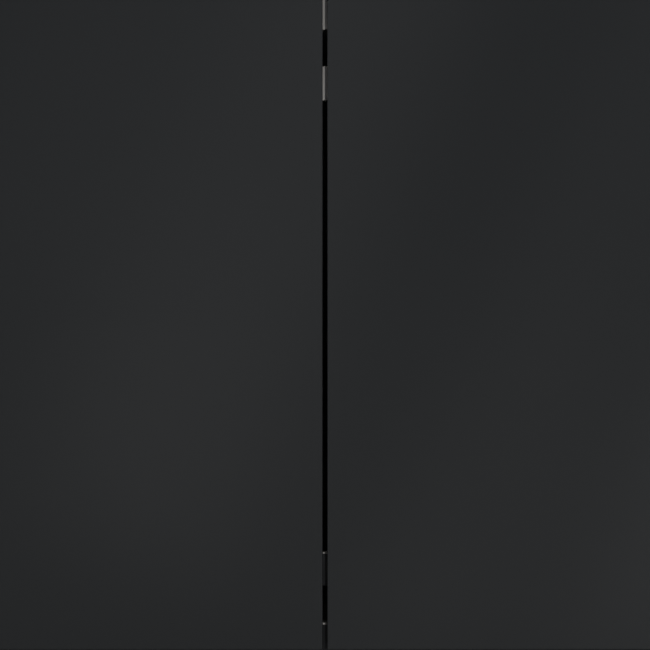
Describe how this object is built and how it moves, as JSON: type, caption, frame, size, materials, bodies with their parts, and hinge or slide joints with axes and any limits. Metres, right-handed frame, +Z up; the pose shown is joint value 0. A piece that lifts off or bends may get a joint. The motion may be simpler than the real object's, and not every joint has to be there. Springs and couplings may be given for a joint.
{
  "type": "two-door wardrobe",
  "caption": "Tall free-standing wardrobe with flat handleless dark doors on concealed hinges, push-open latches, shelves, rails and a recessed plinth.",
  "frame": {"origin": "on the floor, under the middle of the footprint with the doors closed", "axes": "+Z up, the doors face -Y, +X to the right of someone looking at the doors"},
  "size_m": [1, 0.6, 2.1],
  "materials": {
    "door_lacquer": "satin anthracite lacquer on smooth board",
    "carcass_melamine": "matt warm grey melamine with a fine linen texture",
    "plinth_board": "matt anthracite",
    "rail_paint": "satin warm grey powder coat",
    "rail_aluminium": "satin anodised",
    "hinge_steel": "nickel plated, semi-bright",
    "screw_steel": "zinc plated",
    "bracket_steel": "galvanised sheet",
    "cam_zinc": "die-cast zinc",
    "latch_plastic": "matt grey",
    "glide_plastic": "matt black",
    "dowel_beech": "plain beech",
    "block_pine": "planed pine",
    "bumper_silicone": "translucent"
  },
  "bodies": {
    "carcass": {"accessory_rail": "rail_paint", "arm_pins": "hinge_steel", "back_panel": "carcass_melamine", "bottom_panel": "carcass_melamine", "cam_bolts": "screw_steel", "cam_locks": "cam_zinc", "dowels": "dowel_beech", "fixed_shelf": "carcass_melamine", "hanging_rail": "rail_aluminium", "hanging_rail_brackets": "rail_aluminium", "hanging_rail_screws": "screw_steel", "latch_screws": "screw_steel", "left_hinge_arms": "hinge_steel", "left_middle_latch_housing": "latch_plastic", "left_plinth_end": "plinth_board", "left_side_panel": "carcass_melamine", "left_top_latch_housing": "latch_plastic", "left_wall_bracket": "bracket_steel", "levelling_glide_1": "glide_plastic", "levelling_glide_2": "glide_plastic", "levelling_glide_3": "glide_plastic", "levelling_glide_4": "glide_plastic", "mounting_plates": "hinge_steel", "plate_screws": "screw_steel", "plinth_centre_brace": "plinth_board", "plinth_corner_blocks": "block_pine", "plinth_front": "plinth_board", "plinth_rear": "plinth_board", "plinth_screws": "screw_steel", "rail_end_plates": "rail_paint", "rail_end_screws": "screw_steel", "right_hinge_arms": "hinge_steel", "right_middle_latch_housing": "latch_plastic", "right_plinth_end": "plinth_board", "right_side_panel": "carcass_melamine", "right_top_latch_housing": "latch_plastic", "right_wall_bracket": "bracket_steel", "shelf_pins": "screw_steel", "shoe_rail": "rail_paint", "top_panel": "carcass_melamine", "upper_shelf": "carcass_melamine", "wall_bracket_screws": "screw_steel"},
    "left_hinge_link_set": {"left_hinge_links": "hinge_steel"},
    "left_door_leaf": {"left_door": "door_lacquer", "left_strike_plates": "bracket_steel", "left_door_bumpers": "bumper_silicone", "left_hinge_cups": "hinge_steel", "left_cup_screws": "screw_steel", "left_cup_pins": "hinge_steel"},
    "left_top_plunger": {"left_top_latch_plunger": "latch_plastic"},
    "left_middle_plunger": {"left_middle_latch_plunger": "latch_plastic"},
    "right_hinge_link_set": {"right_hinge_links": "hinge_steel"},
    "right_door_leaf": {"right_door": "door_lacquer", "right_strike_plates": "bracket_steel", "right_door_bumpers": "bumper_silicone", "right_hinge_cups": "hinge_steel", "right_cup_screws": "screw_steel", "right_cup_pins": "hinge_steel"},
    "right_top_plunger": {"right_top_latch_plunger": "latch_plastic"},
    "right_middle_plunger": {"right_middle_latch_plunger": "latch_plastic"}
  },
  "joints": [
    {"name": "left_link_pivot", "type": "hinge", "parent": "carcass", "child": "left_hinge_link_set", "pos_m": [-0.4694, -0.268, 1.0975], "axis": [0, 0, 1], "range_deg": [0, 30.5]},
    {"name": "left_door_hinge", "type": "hinge", "parent": "left_hinge_link_set", "child": "left_door_leaf", "pos_m": [-0.4895, -0.2828, 1.0975], "axis": [0, 0, -1], "range_deg": [0, 130.4]},
    {"name": "left_top_push_latch", "type": "slide", "parent": "carcass", "child": "left_top_plunger", "axis": [0, 1, 0], "range_m": [0, 0.0025], "stiffness_N_per_m": 400},
    {"name": "left_middle_push_latch", "type": "slide", "parent": "carcass", "child": "left_middle_plunger", "axis": [0, 1, 0], "range_m": [0, 0.0025], "stiffness_N_per_m": 400},
    {"name": "right_link_pivot", "type": "hinge", "parent": "carcass", "child": "right_hinge_link_set", "pos_m": [0.4694, -0.268, 1.0975], "axis": [0, 0, -1], "range_deg": [0, 30.5]},
    {"name": "right_door_hinge", "type": "hinge", "parent": "right_hinge_link_set", "child": "right_door_leaf", "pos_m": [0.4895, -0.2828, 1.0975], "axis": [0, 0, 1], "range_deg": [0, 130.4]},
    {"name": "right_top_push_latch", "type": "slide", "parent": "carcass", "child": "right_top_plunger", "axis": [0, 1, 0], "range_m": [0, 0.0025], "stiffness_N_per_m": 400},
    {"name": "right_middle_push_latch", "type": "slide", "parent": "carcass", "child": "right_middle_plunger", "axis": [0, 1, 0], "range_m": [0, 0.0025], "stiffness_N_per_m": 400}
  ],
  "couplings": [
    {"joint": "left_link_pivot", "follows": "left_door_hinge", "ratio": 0.23313},
    {"joint": "right_link_pivot", "follows": "right_door_hinge", "ratio": 0.23313}
  ]
}
